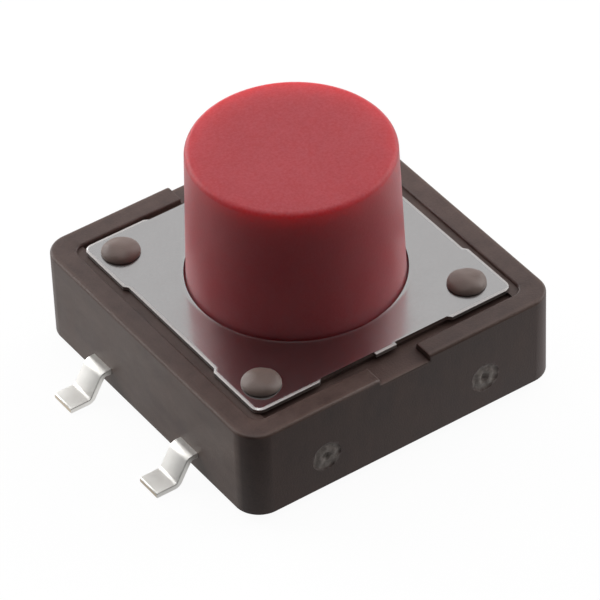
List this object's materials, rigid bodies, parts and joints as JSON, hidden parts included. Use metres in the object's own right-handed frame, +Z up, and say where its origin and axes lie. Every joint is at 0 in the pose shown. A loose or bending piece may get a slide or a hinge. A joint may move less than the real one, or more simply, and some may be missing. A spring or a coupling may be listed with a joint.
{
  "type": "tactile push button switch",
  "caption": "Square surface-mount tactile push button switch with a tall round sprung button, a staked metal cover plate and gull-wing legs.",
  "frame": {"origin": "middle of the seating plane of the feet, straight under the button's axis", "axes": "+Z up along the button's axis, out of the board; X along the terminal strips, from foot tip to foot tip; Y across them, with the gate marks on the -Y face"},
  "size_m": [0.0152, 0.012, 0.0087],
  "materials": {
    "housing_plastic": "moulded heat-resistant nylon, brown, fine satin",
    "cover_steel": "stamped stainless sheet, satin, with a bright cut edge",
    "button_plastic": "moulded, red, fine satin",
    "spring_steel": "bright rolled spring steel",
    "plated_strip": "brass strip plated with pale tin"
  },
  "bodies": {
    "switch_base": {"housing": "housing_plastic", "cover_plate": "cover_steel", "contact_disc": "spring_steel", "centre_terminal": "plated_strip", "outer_terminal": "plated_strip"},
    "push_button": {"button": "button_plastic"}
  },
  "joints": [
    {"name": "button_press", "type": "slide", "parent": "switch_base", "child": "push_button", "axis": [0, 0, -1], "range_m": [0, 0.0003], "stiffness_N_per_m": 5300, "deforming": ["contact_disc"]}
  ]
}
